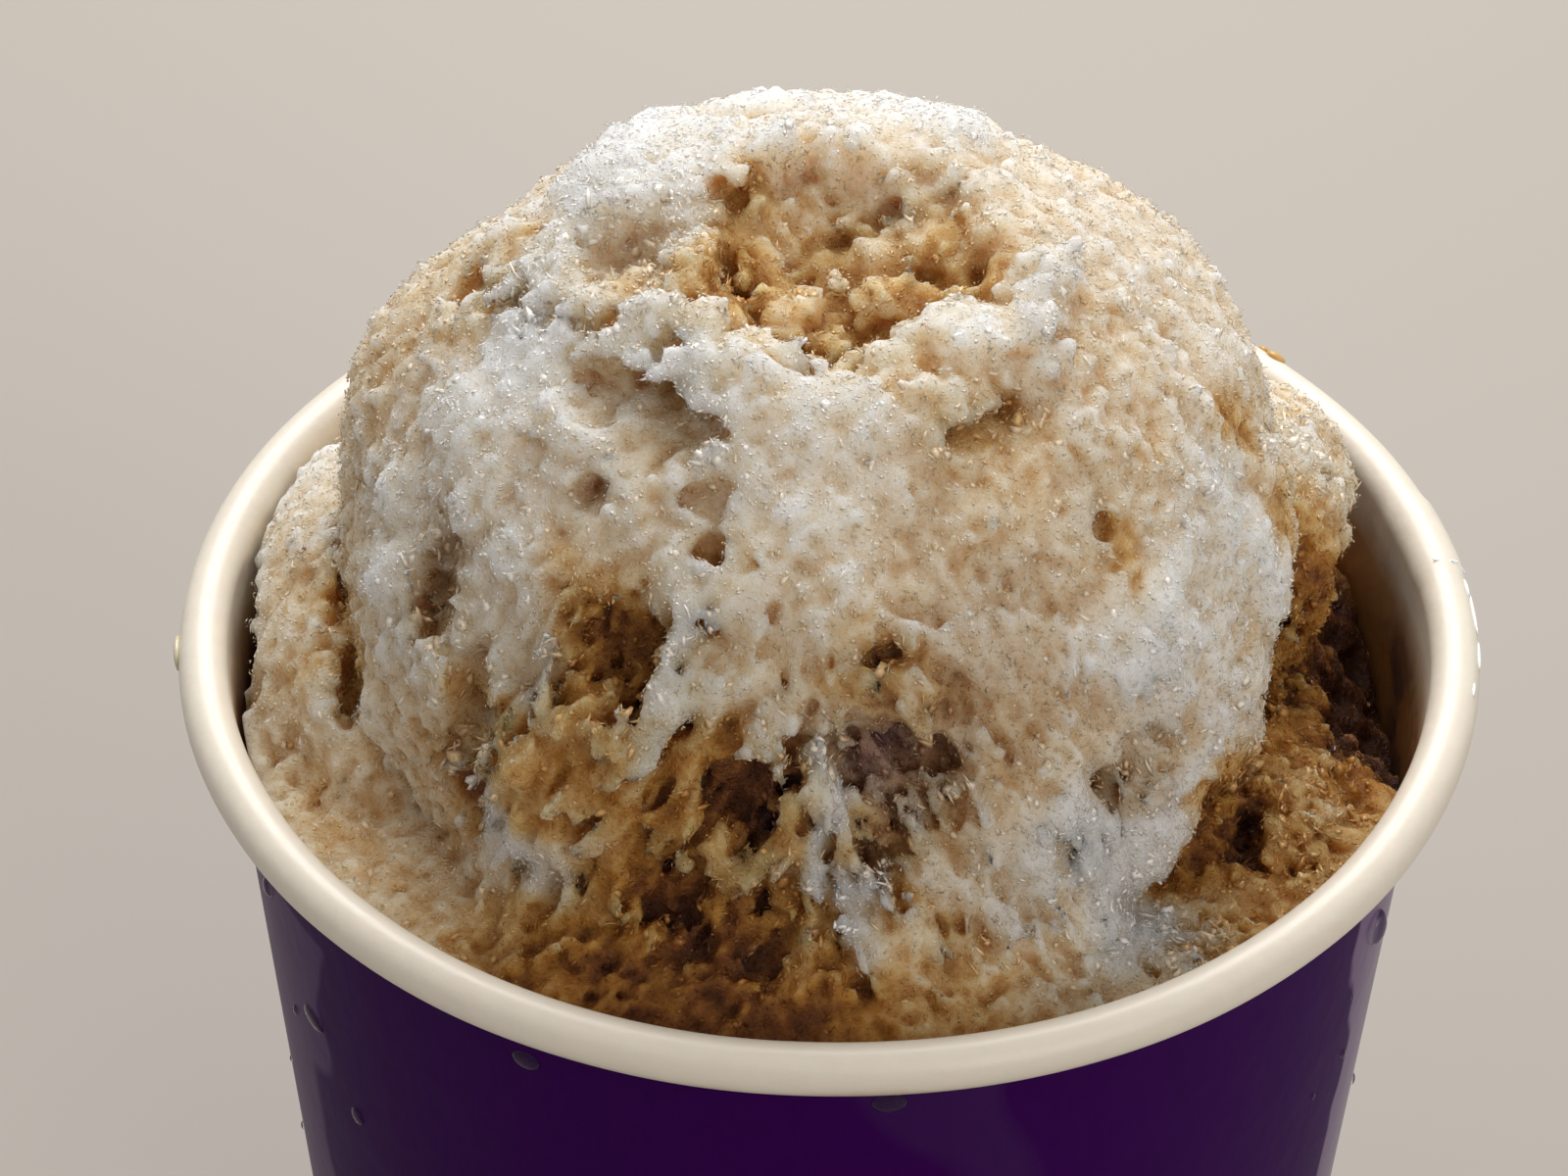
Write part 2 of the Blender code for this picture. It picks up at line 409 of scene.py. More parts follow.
WALL_GAPS = (
    ((48, 5, -3), (11, 19, 11.5)),
    ((43, 23, -2), (7.5, 10, 9)),
    ((0, 46, 0), (16, 8, 7)),
    ((-46.5, 2, -3), (4.2, 9, 5)),
)
STRANDS = (  # points along a strand of ice left between the pits, its radius, how ragged it is
    (((-10, -28, 26), (-11.5, -31.5, 19.5), (-13.5, -32.5, 16), (-18, -31.5, 10)), 1.3, 0.6),
    (((-1.5, -34, 17), (0.5, -35.5, 12.5), (1.5, -36, 9.5), (4, -36.5, 6)), 1.2, 0.7),
    (((-1, -36.5, 7.5), (0.5, -37.5, 4.5), (2.5, -38.5, 2)), 0.9, 0.6),
)
LUMPS = (  # syrupy lumps
    ((-20, -28, 11), (3.5, 2.5, 3)),
    ((-16.5, -29, 16), (3.5, 2, 2.5)),
    ((4.5, -36.5, 2), (3.5, 2.5, 3)),
)


def near_spots(block, spots):
    """How strongly each place belongs to any of the spots, 0 to 1."""
    total = np.zeros(block.count, np.float32)
    for centre, half in spots:
        slices = block.part(centre, 2.0 * max(half))
        share = np.exp(fall_off(block.away(centre, slices), half))
        total[slices] = np.maximum(total[slices], share)
    return total


def union(block, lobes, softness):
    field = None
    for centre, half in lobes:
        lobe = ellipsoid(block.away(centre), half)
        field = lobe if field is None else soft_min(field, lobe, softness)
    return field


def heap_on(block, field, lumps, ragged, rough, softness, side=1):
    """Joins ragged lumps to the ice, or with side -1 takes them out of it."""
    for centre, half in lumps:
        slices = block.part(centre, max(half) + 3.0)
        lump = ellipsoid(block.away(centre, slices), half) + ragged * rough[slices]
        field[slices] = side * soft_min(side * field[slices], lump, softness)


def carve(block, field, pits, ragged, rough, softness=0.4):
    heap_on(block, field, pits, ragged, rough, softness, -1)


def raise_bars(block, field, bars, rough, softness):
    for points, radius, ragged in bars:
        for start, end in zip(points, points[1:]):
            start, end = np.array(start, float), np.array(end, float)
            along = end - start
            slices = block.part((start + end) / 2, np.linalg.norm(along) / 2 + radius + 2.5)
            x, y, z = block.away(start, slices)
            t = (x * along[0] + y * along[1] + z * along[2]) / (along @ along)
            t = np.clip(t, 0.0, 1.0)
            gap = np.sqrt((x - t * along[0]) ** 2 + (y - t * along[1]) ** 2 + (z - t * along[2]) ** 2)
            bar = gap - radius + ragged * rough[slices]
            field[slices] = soft_min(field[slices], bar, softness)


def add_swells(block, field, random):
    """Soft round swells over the whole ball."""
    directions = random.normal(size=(SWELLS, 3))
    directions[:, 2] = np.abs(directions[:, 2]) - 0.35
    directions /= np.linalg.norm(directions, axis=1, keepdims=True)
    middle, half = np.array(BALL[0][0], float), np.array(BALL[0][1], float)
    reach = 1.0 / np.sqrt(((directions / half) ** 2).sum(1))
    size = random.uniform(*SWELL_SIZES, len(directions))
    places = middle + directions * (reach - 0.92 * size)[:, None]
    halves = size[:, None] * random.uniform(0.8, 1.25, (len(size), 3))
    heap_on(block, field, list(zip(places, halves)), 0.0, field, 1.3)


def fan_noise(small, grain, seed):
    """Noise in long lumps that hang down and fan out from the middle of the front."""
    left = small.noise(grain, seed, (-0.45, 0.1))
    right = small.noise(grain, seed + 1, (0.4, 0.1))
    turn = ramp(small.x, -6.0, 4.0)
    return left * (1.0 - turn) + right * turn


def web(block, field, seed):
    """Eats small ragged pits where the ice is porous, long ones that fan down from the middle."""
    small, region = block.cut((-33, -46, -12), (43, -18, 28))
    strands = fan_noise(small, (1.3, 1.3, 2.8), seed) + 0.8 * fan_noise(small, (0.7, 0.7, 1.4), seed + 3)
    open_share = ramp(strands, -0.05, 0.5)
    eaten = np.zeros(small.count, np.float32)
    for centre, half, depth in POROUS:
        slices = small.part(centre, 1.8 * max(half))
        share = ramp(fall_off(small.away(centre, slices), half), -1.6, -0.3)
        eaten[slices] = np.maximum(eaten[slices], depth * share)
    field[region] += eaten * open_share


def hang_share(block):
    """1 at the low front, where the ice hangs in strands, less at its foot, and 0 elsewhere."""
    above_foot = 0.3 + 0.7 * ramp(block.z, -3.0, 3.0)
    return ramp(-block.y, 21.0, 27.0) * ramp(-block.z, -30.0, -22.0) * above_foot


def roughen(block, field, wild, seed):
    """Relief: soft and low where the ice is calm, sharp edges where it is torn, strands that hang."""
    hang = hang_share(block)
    field += 0.4 * block.noise(7.5, seed)
    seen = 1.0 - 0.35 * ramp(block.y, 14.0, 26.0)
    calm = seen * (1.0 - 0.5 * hang)
    for grain, low, high in ((3.4, 0.20, 0.80), (1.7, 0.22, 0.75), (0.95, 0.38, 0.60)):
        noise = block.noise(grain, seed + int(10 * grain))
        edges = 0.45 - 1.5 * np.abs(noise)
        field += low * (1.0 - wild) * calm * noise - high * wild * edges
    grain = block.noise((0.8, 0.8, 0.7), seed + 4)
    fibre = block.noise((0.62, 0.62, 2.2), seed + 6)
    field += seen * (0.34 + 0.06 * wild + 0.08 * hang) * (grain + (fibre - grain) * hang)
    small, region = block.cut((-40, -46, -14), (42, -8, 36))
    share = hang_share(small)
    for grain, height, step in (((2.4, 2.4, 6.5), 0.95, 70), ((1.1, 1.1, 3.2), 0.75, 80)):
        strands = 0.4 - 1.5 * np.abs(fan_noise(small, grain, seed + step))
        field[region] -= height * share * strands
    small, region = block.cut((-26, -32, 24), (-4, -6, 40))
    share = np.exp(fall_off(small.away(STREAKED_FACE[0]), (7.0, 8.0, 6.0)))
    field[region] += 0.75 * share * small.noise((4.0, 4.0, 0.75), seed + 90)


def bed_base(block):
    level = block.z - BED_LEVEL - block.x * BED_TILT[0] - block.y * BED_TILT[1]
    return soft_min(union(block, BED, 3.0), level, 3.0)


def joined_base(block):
    """The heap before it is torn: the ball, run softly into the bed at the front."""
    ball = union(block, BALL, 3.0)
    front = ramp(-block.y, 8.0, 24.0) * (1.0 - ramp(np.abs(block.x + 2.0), 20.0, 27.0))
    return soft_min(ball, bed_base(block), 1.2 + 8.0 * front)


TORN = (TERRACE,) + CRATER_PITS[:3] + GROOVE_PITS + CAVES + HOLLOWS + RIGHT_PITS
BED_TORN = (((33, -8, -4), (8, 18, 9)), ((34, 10, 7), (5, 9, 8)), ((26, -29, -5), (9, 6, 4)))


def torn_share(block):
    spots = [(centre, tuple(1.25 * h for h in half)) for centre, half in TORN]
    return near_spots(block, spots + list(BED_TORN))


def ice_field():
    block = Block((-46, -46, ICE_FLOOR - 1), (46, 46, 46), CELL)
    random = np.random.default_rng(7)
    rough = 0.8 * block.noise(2.9, 52) + 0.6 * block.noise(1.7, 50) + 0.4 * block.noise(0.85, 51)
    field = joined_base(block)
    add_swells(block, field, random)
    carve(block, field, (CRATER_BOWL,), 1.3, rough, 0.7)
    carve(block, field, (TERRACE, STREAKED_FACE), 1.0, rough, 0.4)
    heap_on(block, field, LIP_LUMPS, 1.3, rough, 0.6)
    carve(block, field, CRATER_PITS + GROOVE_PITS, 1.1, rough, 0.5)
    carve(block, field, FACE_PITS, 1.1, rough)
    carve(block, field, HOLLOWS, 0.9, rough, 1.0)
    carve(block, field, CAVES + RIGHT_PITS, 0.9, rough, 0.5)
    web(block, field, 60)
    raise_bars(block, field, STRANDS, rough, 0.6)
    heap_on(block, field, LUMPS, 0.8, rough, 1.2)
    roughen(block, field, torn_share(block), 10)
    carve(block, field, WALL_GAPS, 1.1, rough)
    radius = np.sqrt(block.x**2 + block.y**2)
    wall = radius - (WALL_INNER_AT_BEAD / MM - ICE_WALL_GAP + WALL_TAPER * np.minimum(block.z, 0.0))
    wall = np.where(block.z < ICE_TRIM_TOP, wall, -9.0)
    np.maximum(field, wall, out=field)
    np.maximum(field, ICE_FLOOR - block.z, out=field)
    return block, field


# ------ stains

STAINS = (  # centre, reach, stain from 0 white to 1 dark brown, wetness
    # the top and the hollow in it
    ((0, 16, 38), 12, 0.03, 0),
    ((20, 4, 33), 8, 0.12, 0),
    ((1, 4, 39), 7, 0.17, 0),
    ((1, -4, 37), 7, 0.27, 0),
    ((-7, 2, 38.5), 2, 0.40, 0.1),
    ((-8, -5, 36.5), 2.4, 0.50, 0.1),
    ((5.5, -2.5, 36), 2.4, 0.42, 0.1),
    ((10, -4, 37), 2.4, 0.40, 0.1),
    ((8.5, -10, 37), 3.5, 0.14, 0),
    ((1.5, -12, 32), 4.5, 0.44, 0.1),
    ((1, -18, 36), 4, 0.06, 0),
    # the shoulder and ledges at the left
    ((-15, 7, 37), 7, 0.03, 0),
    ((-18, -1, 37), 4, 0.12, 0),
    ((-25, 0, 31), 3, 0.32, 0.1),
    ((-16, -8.5, 35.5), 2.6, 0.28, 0.1),
    ((-21, -9.5, 33), 4, 0.02, 0),
    ((-15, -18, 33), 6, 0.13, 0),
    ((-27, -10, 26), 6, 0.13, 0),
    ((-31, -14, 19), 5, 0.10, 0),
    ((-28.5, -18, 19), 2.8, 0.40, 0.1),
    # the face of the ball
    ((-24, -20, 23), 5, 0.12, 0),
    ((-2, -22, 33), 6, 0.09, 0),
    ((9.5, -18.5, 34), 4, 0.33, 0),
    ((20, -13, 31), 6, 0.22, 0),
    ((28, -8, 20), 6, 0.04, 0),
    ((24, -22, 17), 6, 0.10, 0),
    ((-3, -28, 25), 5, 0.25, 0),
    ((12, -27, 24), 6, 0.24, 0),
    ((-10, -27, 25), 3, 0.27, 0.1),
    ((19, -20.5, 26.5), 1.1, 0.42, 0.1),
    ((-9, -20, 33), 2.5, 0.18, 0),
    # the torn and syrupy middle
    ((-1, -32, 19.5), 3, 0.24, 0),
    ((8, -32, 19), 2, 0.44, 0.2),
    ((3.5, -31, 23), 2, 0.48, 0.2),
    ((5, -33, 17), 2.4, 0.50, 0.2),
    ((-14.5, -28, 22), 3.2, 0.60, 0.5),
    ((-10, -29.5, 24), 1.6, 0.24, 0.1),
    ((-11.5, -32, 19.5), 1.5, 0.24, 0.1),
    ((-13.5, -33, 16), 1.5, 0.24, 0.1),
    ((-15.5, -32.5, 13), 1.5, 0.26, 0.1),
    ((-16.5, -31, 16.5), 3.8, 0.58, 1),
    ((-20, -30.5, 11), 3.2, 0.60, 1),
    ((-24, -26, 12), 2, 0.56, 0.5),
    ((-12, -32, 12), 4, 0.58, 0.5),
    ((-6.5, -34, 13), 3.4, 0.66, 0.4),
    ((0.5, -35, 12.5), 1.3, 0.05, 0),
    ((2.5, -36, 7.5), 1.4, 0.05, 0),
    ((-1, -36, 7), 1.6, 0.06, 0),
    ((0.5, -37, 4), 1.6, 0.08, 0),
    ((2.5, -38, 2), 1.6, 0.10, 0),
    ((3.5, -35, 9.5), 1.8, 0.60, 0.3),
    ((7, -33.5, 12), 3.5, 0.32, 0.1),
    ((-5, -38, 6.5), 2.4, 0.64, 0.9),
    ((-4.5, -37, 3), 3, 0.60, 0.8),
    ((-11, -35.5, 3), 3.6, 0.72, 0.6),
    ((4.5, -39, 2), 3.2, 0.52, 0.9),
    # the foot of the ball
    ((-9, -40, -2.5), 5, 0.88, 0.9),
    ((-3, -41, -3), 4, 0.84, 0.9),
    ((-17, -37, -3), 5, 0.68, 0.8),
    ((-25, -32, -3.5), 4, 0.42, 0.5),
    ((3, -41, -4), 3, 0.56, 0.9),
    ((10, -38, -2), 4, 0.42, 0.7),
    ((17, -36, -3), 4, 0.30, 0.5),
    ((12, -34, 4), 4.5, 0.14, 0.1),
    ((22, -27, 2), 6.5, -0.06, 0),
    ((22.5, -27, -3), 4, -0.03, 0),
    ((27, -31, -6), 4, 0.40, 0.3),
    ((32, -25, -6), 4, 0.52, 0.4),
    ((23, -26, 9.5), 3, 0.40, 0.3),
    ((-27, -24, 4), 2.8, 0.44, 0.2),
    ((-23.5, -28, 2.5), 3.2, 0.05, 0),
    # the bed at the left
    ((-40, 16, 2), 7, 0.12, 0),
    ((-41, 4, 3), 5, 0.20, 0.1),
    ((-39, -9, 1), 4, 0.22, 0.1),
    ((-37.5, 0, 5), 2.6, 0.46, 0.3),
    ((-37, -8, 3.5), 2.2, 0.46, 0.3),
    ((-35, -18, -3), 5, 0.30, 0.4),
    # the gap and the ice at the right
    ((29.5, -4.5, 23), 2.4, 0.56, 0.2),
    ((32.5, -5, 15), 3, 0.66, 0.3),
    ((34.5, 0, 4), 4, 0.82, 0.5),
    ((32, 5, 7), 3.6, 0.74, 0.5),
    ((35.5, -2, -5), 4.4, 0.64, 0.9),
    ((37, -9, -5), 4.4, 0.56, 0.8),
    ((30, -18.5, -4), 4.4, 0.74, 0.6),
    ((26.5, -21.5, 3), 1.6, 0.50, 0.2),
    ((37, -15, -7), 4, 0.46, 0.6),
    ((35, 10, 11), 4, 0.16, 0),
    ((36.5, 4, 8), 3, 0.34, 0.1),
    ((33, 1, 13), 2.6, 0.40, 0.2),
    # the ice deep in the gap by the wall: syrup stain, and painted almost black as the shade of the gap
    ((43, 6, -9), 7, 0.98, 0.5),
    ((41, 14, -5), 5, 0.95, 0.4),
    ((42, -4, -10), 5, 0.95, 0.5),
    # the back
    ((0, 40, -7), 14, 0.42, 0.5),
    ((-25, 32, -6), 10, 0.30, 0.3),
    ((25, 32, -6), 10, 0.50, 0.5),
    ((0, 32, 10), 12, 0.16, 0.1),
)
DEFAULT_STAIN = 0.25
DEFAULT_SHARE = 0.10  # how much it counts beside the spots
STAIN_DRIFT = 2.4  # mm by which noise moves the spots' edges
SOAK_AND_SHADE_DEPTH = 2.2  # mm below the untorn skin over which the stain and the painted shade of pits deepen
BERRIES = (  # centre, reach, strength: places with a violet tinge
    ((4.5, -33.5, 15.5), 6.5, 0.95),
    ((1.5, -35, 10), 5.5, 0.6),
    ((-28.5, -18, 19), 4, 0.6),
    ((-27.5, -23.5, 5), 4, 0.6),
    ((22.5, -26.5, 9.5), 5, 0.55),
    ((-38, 2, 5.5), 4, 0.5),
    ((-11, -24, 31), 2.5, 0.3),
    ((11, -29, 22), 7, 0.45),
    ((-18, -22, 26), 6, 0.2),
)

TINT = Block((-47, -47, ICE_FLOOR - 2), (47, 47, 46), 0.7)
TINT_BASE = joined_base(TINT)
TINT_TORN = torn_share(TINT)
DRIFTS = [TINT.noise(4.0, 90), TINT.noise(4.0, 91), TINT.noise(4.0, 92)]
MOTTLE = TINT.noise(1.6, 93) + 0.7 * TINT.noise(3.6, 94)


def bell(points, centre, reach):
    return np.exp(-((points - np.array(centre, float)) ** 2).sum(1) / reach**2)


def stain_and_shade_at(points, relief):
    """Syrup, wetness and violet tinge at points of the ice, broken up by noise; stronger in pits, partly
    as painted shade, and lighter on edges that stand out, as painted light.
    """
    jitter = np.stack([TINT.sample(field, points) for field in DRIFTS], 1)
    moved = points + STAIN_DRIFT * jitter
    total = np.full(len(points), DEFAULT_SHARE)
    stain_and_shade = total * DEFAULT_STAIN
    wet = np.zeros(len(points))
    for centre, reach, value, wetness in STAINS:
        share = 4.0 / reach * bell(moved, centre, reach)
        total += share
        stain_and_shade += share * value
        wet += share * wetness
    stain_and_shade /= total
    wet /= total
    # partly painted shade: the stain deepens with depth below the untorn skin, as syrup soaked into pits
    # and as shade painted in them; ice standing above the skin is made lighter
    depth = -TINT.sample(TINT_BASE, points)
    soak_and_shade = 1.0 - np.exp(-np.clip(depth - 0.3, 0.0, 9.0) / SOAK_AND_SHADE_DEPTH)
    # painted light and shade: edges that stand out are made lighter, hollows darker
    edge = np.clip(relief[0].sample(relief[1], points) / 0.8, -1.0, 1.0)
    stain_and_shade = stain_and_shade + 0.30 * soak_and_shade * (0.25 + stain_and_shade) - 0.08 * np.clip(-depth, 0.0, 1.2)
    stain_and_shade = stain_and_shade * (1.0 - 0.16 * edge) - 0.035 * edge + 0.06 * ramp(stain_and_shade, 0.05, 0.20)
    stain_and_shade = stain_and_shade + 0.07 * TINT.sample(MOTTLE, points) * (0.35 + stain_and_shade)
    berry = np.zeros(len(points))
    for centre, reach, strength in BERRIES:
        berry = np.maximum(berry, strength * bell(moved, centre, reach))
    berry *= 0.3 + 0.7 * soak_and_shade
    return np.stack([np.clip(stain_and_shade, 0.0, 1.0), np.clip(wet + 0.2 * soak_and_shade, 0.0, 1.0), berry], 1)


def standing_out(block, field):
    """A coarse, smoothed copy of the field: above 0 at edges that stand out, below 0 in hollows."""
    step = 3
    coarse = np.clip(field[::step, ::step, ::step], -2.5, 2.5)
    small = Block(block.low, block.low + 1.0, block.cell * step)
    small.count = np.array(coarse.shape)
    reach = max(1, round(1.5 / small.cell))
    for axis in range(3):
        coarse = sum(np.roll(coarse, turn, axis) for turn in range(-reach, reach + 1)) / (2 * reach + 1)
    return small, coarse


def paint(mesh, tints):
    for name, values in zip(("stain_and_shade", "wet", "berry"), tints.T):
        attribute = mesh.attributes.new(name, "FLOAT", "POINT")
        attribute.data.foreach_set("value", values.astype(np.float32))


def read_rows(items, key, width=3):
    """One value, or one row of them, for each of a mesh's items."""
    values = np.empty(len(items) * width, np.int32 if key == "vertices" else np.float32)
    items.foreach_get(key, values)
    return values.reshape(-1, width) if key == "vertices" else values.reshape(-1, width).astype(float)


def places_of(mesh):
    return from_frame(read_rows(mesh.vertices, "co"))


def make_ice(name, block, field, relief, triangles, material):
    """The worked ice as one closed piece, without crumbs that hang in the air."""
    corners, quads = skin_of(block, field)
    scratch = add_piece(name + "_full", mesh_from(name, to_frame(corners), quads), material)
    thin_out(scratch, triangles)
    mesh = scratch.data
    mesh.calc_loop_triangles()
    faces = read_rows(mesh.loop_triangles, "vertices")
    corners, faces = drop_crumbs(places_of(mesh), faces, SMALLEST_BIT)
    bpy.data.objects.remove(scratch)
    piece = add_piece(name, mesh_from(name, to_frame(corners), faces), material)
    paint(piece.data, stain_and_shade_at(places_of(piece.data), relief))
    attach(piece, "root")
    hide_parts("shaved_ice")
    return piece


# ------ loose flakes and needles

PLATES = (  # name, count, reach in mm, width for its length, half thickness, corners, seed
    ("ice_shavings", 7000, (0.3, 0.8), (0.55, 1), 0.08, 7, 210),
    ("ice_shreds", 6000, (0.4, 1.2), (0.16, 0.32), 0.07, 6, 211),
)
SLIVERS = (  # name, count, length and width in mm, flatness, lift, seed
    ("ice_flakes", 46000, (0.22, 0.65), (0.12, 0.30), 0.3, 0.10, 200),
    ("ice_needles", 7000, (0.4, 1.1), (0.08, 0.16), 0.8, 0.25, 201),
)
STREWN_FLOOR = -9.0  # chips lie above this height in mm
STREWN_RADIUS = 43.8  # and, below the rim, within this radius at the bead's middle, less further down

class Skin:
    """The faces of the heap, to scatter loose bits on."""

    def __init__(self, heap, relief):
        mesh = heap.data
        self.spots = from_frame(read_rows(mesh.polygons, "center"))
        self.normals = read_rows(mesh.polygons, "normal")
        self.areas = read_rows(mesh.polygons, "area", 1)[:, 0]
        self.tints = stain_and_shade_at(self.spots, relief)
        self.wild = TINT.sample(TINT_TORN, self.spots)
        radius = np.hypot(self.spots[:, 0], self.spots[:, 1])
        in_cup = (self.spots[:, 2] < 2.0) & (radius > STREWN_RADIUS + WALL_TAPER * self.spots[:, 2])
        self.areas *= (self.spots[:, 2] > STREWN_FLOOR) * ~in_cup

    def pick(self, count, random, dry, front, calm):
        """Random faces by area: dry keeps them off syrup and painted shade, front off the far side, calm
        off torn ice.
        """
        weight = self.areas * np.clip(1.0 - dry * self.tints[:, 0], 0.05, 1.0)
        weight = weight * (calm + (1.0 - calm) * self.wild)
        weight = weight * (1.0 - front * ramp(self.spots[:, 1], 8.0, 20.0))
        return random.choice(len(self.spots), count, p=weight / weight.sum())


def flow_at(spots):
    """The way the ice's fibres run: down and fanning out at the low front, level on the left face."""
    flow = np.zeros((len(spots), 3))
    hang = ramp(-spots[:, 1], 20.0, 26.0) * ramp(-spots[:, 2], -30.0, -24.0)
    flow[:, 0] = hang * np.clip(spots[:, 0] / 22.0, -0.8, 0.8)
    flow[:, 2] = -hang
    level = np.exp(-(((spots - np.array([-15.0, -18.0, 32.0])) / np.array([8.0, 8.0, 6.0])) ** 2).sum(1))
    flow[:, 0] += level
    flow[:, 2] += 0.15 * level
    return flow


def unit(vectors):
    return vectors / np.linalg.norm(vectors, axis=1, keepdims=True)


def laid(drift, normals, lift=0.0):
    """Ways to point, turned flat against the skin but for the share that lifts off it."""
    return unit(drift - (drift * normals).sum(1, keepdims=True) * normals * (1.0 - lift))


def spread(sizes, count, random):
    """Random sizes between two, with each doubling as likely as the next."""
    return sizes[0] * (sizes[1] / sizes[0]) ** random.random(count)


def varied(tints, random, change, scatter):
    """Tints with the stain and painted shade a little stronger, and shifted by chance for each chip."""
    tints[:, 0] = np.clip(tints[:, 0] * 1.05 + random.normal(change, scatter, len(tints)), 0.0, 1.0)
    return tints


def add_loose(name, corners, faces, tints, material):
    """A piece made of many small closed bits: corners by bit, the same faces for each."""
    count, each = corners.shape[:2]
    all_faces = (np.arange(count)[:, None, None] * each + np.array(faces)).reshape(-1, 3)
    mesh = mesh_from(name, to_frame(corners.reshape(-1, 3)), all_faces)
    piece = add_piece(name, mesh, material, smooth=False)
    paint(piece.data, np.repeat(tints, each, 0))
    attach(piece, "root")


def make_slivers(name, skin, count, lengths, widths, flatness, lift, seed, material):
    """Slivers of ice, each a thin closed wedge of four faces, resting on the skin."""
    random = np.random.default_rng(seed)
    chosen = skin.pick(count, random, 0.8, 0.5, 1.0)
    spots, normals = skin.spots[chosen], skin.normals[chosen]
    spots = spots + random.normal(0.0, 0.12, spots.shape)
    drift = random.normal(size=(count, 3)) + 1.2 * flow_at(spots)
    along = laid(drift, normals, lift)
    side = unit(np.cross(along, normals + 0.35 * random.normal(size=(count, 3))))
    up = np.cross(side, along)
    half_length = spread(lengths, count, random)[:, None] / 2
    half_width = spread(widths, count, random)[:, None] / 2
    middle = spots + normals * (0.08 + 0.1 * random.random((count, 1)))
    ends = (middle - along * half_length, middle + along * half_length)
    ridge = up * half_width * flatness
    edges = (middle + side * half_width + ridge, middle - side * half_width + ridge)
    corners = np.stack([*ends, *edges], 1)
    faces = ((0, 2, 1), (0, 1, 3), (0, 3, 2), (1, 2, 3))
    add_loose(name, corners, faces, varied(skin.tints[chosen], random, -0.02, 0.04), material)


def make_plates(name, skin, count, sizes, narrow, thick, sides, seed, material):
    """Shavings of ice: thin bent plates with a ragged outline, half sunk in the skin."""
    random = np.random.default_rng(seed)
    chosen = skin.pick(count, random, 0.3, 0.45, 0.25)
    spots, normals, wild = skin.spots[chosen], skin.normals[chosen], skin.wild[chosen]
    size = spread(sizes, count, random)
    size *= 0.75 + 0.55 * wild
    tilt = (0.15 + 0.4 * wild)[:, None]
    up = unit(normals + tilt * random.normal(size=(count, 3)))
    drift = random.normal(size=(count, 3)) + 2.0 * flow_at(spots)
    along = laid(drift, up)
    side = np.cross(up, along)
    middle = spots - normals * (size * random.uniform(-0.10, 0.30, count))[:, None]
    curl = random.uniform(-0.25, 0.45, count)
    turns = (np.arange(sides) + random.uniform(-0.32, 0.32, (count, sides))) * 2 * math.pi / sides
    reach = size[:, None] * random.uniform(0.55, 1.0, (count, sides))
    ahead = np.cos(turns) * reach
    beside = np.sin(turns) * reach * random.uniform(narrow[0], narrow[1], (count, 1))
    rise = curl[:, None] * ahead**2 / size[:, None]
    outline = (
        middle[:, None]
        + ahead[..., None] * along[:, None]
        + beside[..., None] * side[:, None]
        + rise[..., None] * up[:, None]
    )
    half = (thick * (0.7 + 0.6 * random.random(count)))[:, None]
    corners = np.concatenate([outline, (middle + up * half)[:, None], (middle - up * half)[:, None]], 1)
    faces = []
    for step in range(sides):
        after = (step + 1) % sides
        faces.append((step, after, sides))
        faces.append((after, step, sides + 1))
    add_loose(name, corners, faces, varied(skin.tints[chosen], random, -0.03, 0.03), material)


# ------ cup


def turned(name, profile, material, segments=ROUND_STEPS, shift=None):
    """Turns a closed profile of (radius, height) about the cup's axis; shift moves each point a little."""
    profile = np.array(profile, float)
    angles = np.arange(segments) * 2 * math.pi / segments
    radius = np.broadcast_to(profile[:, 0], (segments, len(profile))).copy()
    height = np.broadcast_to(profile[:, 1], (segments, len(profile))).copy()
    if shift is not None:
        out, rise = shift(angles[:, None], radius, height)
        radius = radius + out
        height = height + rise
    corners = np.stack(
        [radius * np.cos(angles)[:, None], radius * np.sin(angles)[:, None], height], -1
    ).reshape(-1, 3)
    turn = np.arange(segments)[:, None] * len(profile)
    after = np.roll(turn, -1, 0)
    ring = np.arange(len(profile))[None, :]
    ring_after = np.roll(ring, -1, 1)
    quads = np.stack([turn + ring, after + ring, after + ring_after, turn + ring_after], -1)
    return add_piece(name, mesh_from(name, corners, quads.reshape(-1, 4)), material)


def wall_inner(height):
    return WALL_INNER_AT_BEAD - WALL_TAPER * (BEAD_Z - height)


def wobble(angles, seed, waves, size):
    """A slow uneven wave around the cup."""
    random = np.random.default_rng(seed)
    total = np.zeros_like(angles)
    for wave in waves:
        total += np.sin(wave * angles + random.uniform(0, 6.28)) * random.uniform(0.4, 1.0)
    return size * total / len(waves)


def seam_step(angles):
    """1 over the paper's overlap, just behind the seam at the right of the cup, and 0 elsewhere."""
    turn = (angles + math.pi) % (2 * math.pi) - math.pi
    return ramp(turn, 0.125, 0.137) * (1.0 - ramp(turn, 0.30, 0.33))


def wall_shift(angles, radius, height):
    out = wobble(angles, 5, (2, 3, 5), 0.12 * MM) + 0.22 * MM * seam_step(angles)
    return out, 0.0


def bead_shift(angles, radius, height):
    around = np.clip((height - BEAD_Z + 4 * MM) / (4 * MM), 0.0, 1.0)
    out = wobble(angles, 5, (2, 3, 5), 0.12 * MM) + wobble(angles, 6, (7, 11, 17), 0.05 * MM)
    rise = wobble(angles, 7, (2, 3, 4, 7), 0.10 * MM) * around
    swell = 0.10 * seam_step(angles) * around
    return (
        out + swell * (radius - BEAD_CENTRE_RADIUS),
        rise + swell * (height - BEAD_Z),
    )


def arc(centre, radius, start, end, steps):
    turn = np.radians(np.linspace(start, end, steps))
    return [(centre[0] + radius * math.cos(t), centre[1] + radius * math.sin(t)) for t in turn]


